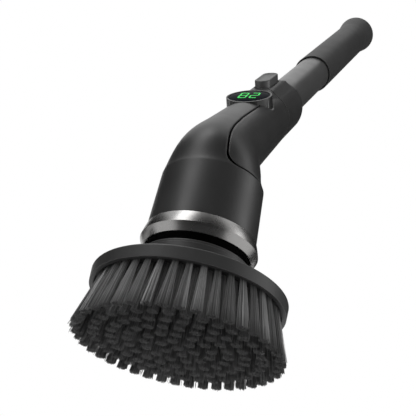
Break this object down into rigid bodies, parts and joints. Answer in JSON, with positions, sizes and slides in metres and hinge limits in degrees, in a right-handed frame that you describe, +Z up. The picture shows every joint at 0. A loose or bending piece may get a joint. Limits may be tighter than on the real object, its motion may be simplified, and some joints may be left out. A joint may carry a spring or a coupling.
{
  "type": "electric spin scrubber",
  "caption": "Cordless cleaning brush: a motor head at a bent, battery-filled body turns a round disc of stiff bristles; display, button and a sliding pole grip.",
  "frame": {"origin": "centre of the bristle-tip plane, on the brush's spin axis", "axes": "+Z up the brush's spin axis towards the motor; the handle leans towards +X; +Y to the side"},
  "size_m": [0.4379, 0.129, 0.5588],
  "materials": {
    "body_plastic": "satin moulded grey",
    "dark_plastic": "matt moulded black",
    "trim_metal": "satin gunmetal, anodised",
    "brush_nylon": "drawn nylon filament",
    "magnet_alloy": "nickel plated magnet",
    "steel": "ground steel",
    "gear_plastic": "moulded acetal",
    "bearing_steel": "polished steel",
    "seal_rubber": "matt rubber",
    "cast_case": "die cast",
    "motor_steel": "zinc plated",
    "core_steel": "laminated steel with windings",
    "copper_alloy": "bare copper alloy",
    "carbon": "pressed carbon",
    "display_rim": "satin moulded rim",
    "display_glass": "clear hard-coated window",
    "display_board": "segment module",
    "cell_jacket": "shrink sleeve over a steel can",
    "board_green": "solder resist",
    "button_plastic": "satin light grey",
    "port_metal": "plated shell",
    "flap_rubber": "soft matt rubber",
    "tube_metal": "powder coated grey",
    "grip_rubber": "matt soft-touch"
  },
  "bodies": {
    "housing": {"trim_ring": "trim_metal", "front_cover": "body_plastic", "rear_shell": "body_plastic", "shell_screw": "steel", "switch_housing": "body_plastic", "tail_screw": "steel", "seal_plate": "dark_plastic", "shaft_seal": "seal_rubber", "spindle_bearing": "bearing_steel", "gearbox_case": "cast_case", "gearbox_cover": "cast_case", "gearbox_screws": "steel", "ring_gear": "steel", "motor_can": "motor_steel", "motor_end_cap": "dark_plastic", "motor_terminals": "copper_alloy", "magnet_ring": "magnet_alloy", "carbon_brushes": "carbon", "motor_screws": "steel", "display_bezel": "display_rim", "display_lens": "display_glass", "display_module": "display_board", "battery_cell_left": "cell_jacket", "battery_cell_right": "cell_jacket", "cell_holder": "dark_plastic", "main_board": "board_green", "tact_switch": "dark_plastic", "charge_socket": "port_metal", "port_hinge_pin": "steel", "pole_socket": "dark_plastic", "inner_tube": "tube_metal", "lock_core": "dark_plastic"},
    "spindle": {"output_spindle": "steel", "planet_carrier": "steel"},
    "planet_1": {"planet_gear_1": "gear_plastic"},
    "planet_2": {"planet_gear_2": "gear_plastic"},
    "planet_3": {"planet_gear_3": "gear_plastic"},
    "rotor": {"motor_shaft": "steel", "armature": "core_steel", "commutator": "copper_alloy", "sun_gear": "steel"},
    "brush": {"brush_disc": "dark_plastic", "hub_cover": "dark_plastic", "hub_magnet": "magnet_alloy", "drive_socket": "steel", "bristle_ring_1": "brush_nylon", "bristle_ring_2": "brush_nylon", "bristle_ring_3": "brush_nylon", "bristle_ring_4": "brush_nylon", "bristle_ring_5": "brush_nylon", "bristle_ring_6": "brush_nylon", "bristle_centre": "brush_nylon"},
    "button": {"button_cap": "button_plastic"},
    "flap": {"port_cover": "flap_rubber"},
    "lock": {"lock_collar": "dark_plastic"},
    "grip": {"grip_tube": "tube_metal", "grip_sleeve": "grip_rubber"}
  },
  "joints": [
    {"name": "brush_spin", "type": "hinge", "parent": "housing", "child": "spindle", "pos_m": [0, 0, 0.07], "axis": [0, 0, 1], "continuous": true},
    {"name": "planet_1_spin", "type": "hinge", "parent": "spindle", "child": "planet_1", "pos_m": [0.01365, 0, 0.0885], "axis": [0, 0, 1], "continuous": true},
    {"name": "planet_2_spin", "type": "hinge", "parent": "spindle", "child": "planet_2", "pos_m": [-0.00683, 0.01182, 0.0885], "axis": [0, 0, 1], "continuous": true},
    {"name": "planet_3_spin", "type": "hinge", "parent": "spindle", "child": "planet_3", "pos_m": [-0.00683, -0.01182, 0.0885], "axis": [0, 0, 1], "continuous": true},
    {"name": "rotor_spin", "type": "hinge", "parent": "housing", "child": "rotor", "pos_m": [0, 0, 0.115], "axis": [0, 0, 1], "continuous": true},
    {"name": "brush_release", "type": "slide", "parent": "spindle", "child": "brush", "axis": [0, 0, -1], "range_m": [0, 0.03]},
    {"name": "button_press", "type": "slide", "parent": "housing", "child": "button", "axis": [0.7536, 0, -0.6574], "range_m": [0, 0.0012], "stiffness_N_per_m": 1000},
    {"name": "port_cover_open", "type": "hinge", "parent": "housing", "child": "flap", "pos_m": [0.10863, 0, 0.2265], "axis": [0, 1, 0], "range_deg": [0, 110]},
    {"name": "lock_turn", "type": "hinge", "parent": "housing", "child": "lock", "pos_m": [0.27022, 0, 0.44436], "axis": [0.6574, 0, 0.7536], "range_deg": [0, 90]},
    {"name": "grip_slide", "type": "slide", "parent": "lock", "child": "grip", "axis": [0.6574, 0, 0.7536], "range_m": [-0.109, 0.08]}
  ],
  "couplings": [
    {"joint": "planet_1_spin", "follows": "brush_spin", "ratio": -2.4444},
    {"joint": "planet_2_spin", "follows": "brush_spin", "ratio": -2.4444},
    {"joint": "planet_3_spin", "follows": "brush_spin", "ratio": -2.4444},
    {"joint": "rotor_spin", "follows": "brush_spin", "ratio": 6.5}
  ]
}
